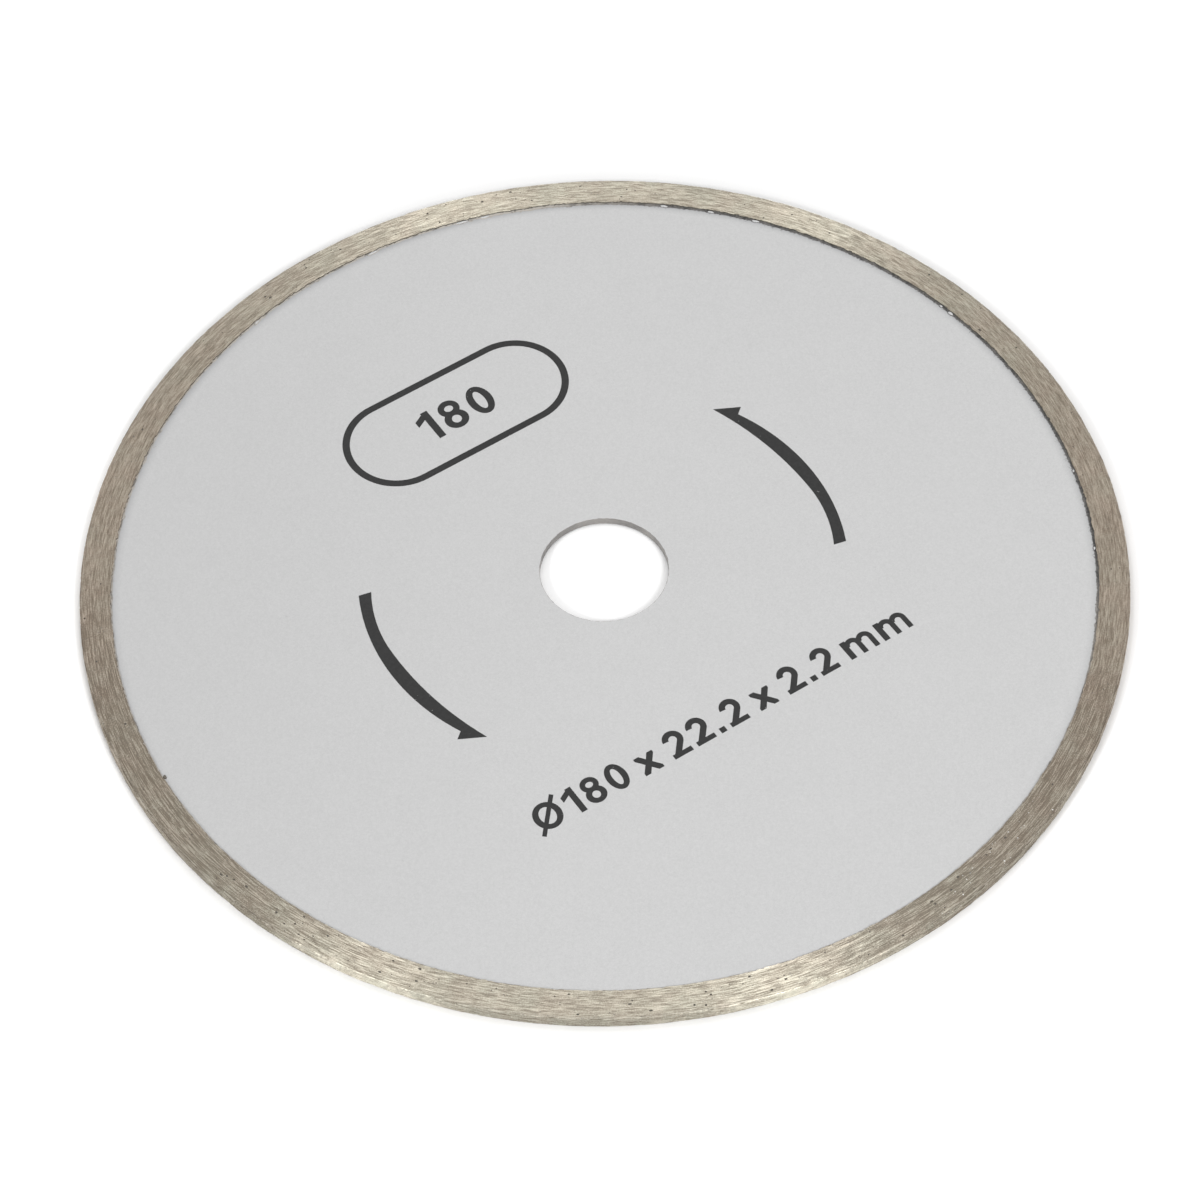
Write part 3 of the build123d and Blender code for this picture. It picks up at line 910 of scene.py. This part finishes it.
def whisker(dice, start, stop):
    """A thin tapering burr that lies on the paint, pointing in from the foot."""
    angle = math.radians(dice.uniform(start, stop))
    length, width = dice.uniform(0.25, 0.8), dice.uniform(0.07, 0.16)
    lean, curl = dice.uniform(-0.9, 0.9), dice.uniform(-0.6, 0.6)
    spots, foot_level = [], COAT_TOP - 0.01
    for share in WHISKER_SHARES:
        radius = RIM_FOOT - 0.3 - length * share
        along = angle + (lean * share + curl * share * share) * length / RIM_FOOT
        half = width / 2 * (1 - share) + 0.008
        crest = COAT_TOP + 0.035 * (1 - share) + 0.012
        for off, level in ((-half, foot_level), (0, crest), (half, foot_level)):
            spots.append([*on_circle(radius, along + off / RIM_FOOT), level])
    faces = []
    for k in range(len(WHISKER_SHARES) - 1):
        for a, b in ((0, 1), (1, 2), (2, 0)):
            faces.append((3 * k + b, 3 * k + a, 3 * k + 3 + a, 3 * k + 3 + b))
    return np.array(spots), [*faces, (0, 1, 2), (11, 10, 9)]


def drop(angle, length, width, height, radius, seed):
    """A low rounded drop, long side along the rim, closed underneath."""
    dice = np.random.default_rng(seed)
    count, middle, bottom = DROP_CORNERS, math.radians(angle), COAT_TOP - DROP_SUNK
    around = even_turns(count)
    uneven = 1 + 0.12 * np.sin(2 * around + dice.uniform(0, 6))
    uneven += 0.08 * np.sin(3 * around + dice.uniform(0, 6))
    spots = []
    for share, rise in DROP_RINGS:
        along = share * uneven * np.cos(around) * length / 2
        across = share * uneven * np.sin(around) * width / 2
        flat = on_circle(radius + across, middle + along / RIM_FOOT)
        spots.append(np.column_stack([flat, np.full(count, bottom + rise * height)]))
    tip = [*on_circle(radius, middle), bottom + height]
    faces = []
    for row in range(len(DROP_RINGS) - 1):
        for k in range(count):
            n = (k + 1) % count
            faces.append((row * count + n, row * count + k, (row + 1) * count + k, (row + 1) * count + n))
    faces += [(3 * count + (k + 1) % count, 3 * count + k, 4 * count) for k in range(count)]
    faces.append(tuple(range(count)))
    return np.concatenate([*spots, [tip]]), faces


crust_and_shade, board, end = new_material("crust")
lump = use(board, mottle, Size=0.4, Seed=21.0)["Value"]
patch = use(board, mottle, Size=1.6, Seed=22.0)["Value"]
tone = board.add_up((lump, 0.5), (patch, 0.5))
colour = board.blend(board.spread(tone, 0.4, 0.6), grey(0.030, 0.05), grey(0.125, 0.06))
x, y, z = board.split(board.place())
# painted shade in part: the crust is paler out on the paint and darkest right in the corner at the rim
paler_from_corner = board.spread(board.off_axis(x, y), (RIM_FOOT - 0.5) * MM, (RIM_FOOT - 0.15) * MM, 0.8, 0.0)
paler_from_corner = board.math("MULTIPLY", paler_from_corner, board.spread(lump, 0.42, 0.58, 0.2, 1.0))
colour = board.blend(paler_from_corner, colour, (0.30, 0.30, 0.305, 1))
wiped = board.math("MULTIPLY", board.side(*CRUSTED_SIDE), board.spread(patch, 0.39, 0.49, 0.5, 1.0))
colour = board.blend(wiped, colour, (0.46, 0.43, 0.39, 1))
finish_material(board, end, colour, board.spread(lump, *MOTTLE_SPAN, 0.55, 0.8), lump, 0.03)

drop_paint, board, end = new_material("drop_paint")
peel = use(board, mottle, Size=0.6, Seed=24.0)["Value"]
colour = board.blend(board.spread(peel, *MOTTLE_SPAN), grey(0.56), grey(0.66))
finish_material(board, end, colour, board.spread(peel, *MOTTLE_SPAN, 0.4, 0.6), peel, 0.02)

dice = np.random.default_rng(71)
blocks = [crust(1, front_edge, front_inner, 72), crust(-1, back_edge, back_inner, 75)]
blocks += [whisker(dice, *span) for span, number in WHISKER_SPANS for _ in range(number)]
for seed, (angle, length, width) in enumerate(DROPS, DROP_SEED):
    blocks.append(drop(angle, length + SKIRT_LONGER, width + SKIRT_WIDER, SKIRT_HEIGHT, DROP_RADIUS, seed))
crumb = drop(angle=176.4, length=0.95, width=0.5, height=0.32, radius=RIM_FOOT - 0.36, seed=110)
joined("foot_crust", blocks, crust_and_shade)
joined("bond_crumb", [crumb], broken_bond)
joined("paint_drops", [drop(angle, length, width, DROP_HEIGHT, DROP_RADIUS, seed)
                       for seed, (angle, length, width) in enumerate(DROPS, DROP_SEED)], drop_paint)


# ---------------------------------------------------------------------------------------
# The print is one pass of charcoal ink through a screen: two arrows that give the way of
# turning, the sizes, and a plain number in a round-ended outline.
# ---------------------------------------------------------------------------------------
ink, board, end = new_material("ink")
body = use(board, mottle, Size=0.6, Seed=15.0)["Value"]
hole = use(board, specks, Spacing=1.1, Size=0.22, Seed=16.0)["Mask"]
colour = board.blend(board.spread(body, *MOTTLE_SPAN), grey(0.014), grey(0.028))
colour = board.blend(board.math("MULTIPLY", hole, 0.6), colour, grey(0.4))
finish_material(board, end, colour, board.spread(body, *MOTTLE_SPAN, 0.5, 0.65), body, 0.008,
                Specular_IOR_Level=0.3)
for name in ("rotation_arrows", "size_marking", "number_badge"):
    print_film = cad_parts[name]
    print_film.data.materials.clear()
    print_film.data.materials.append(ink)
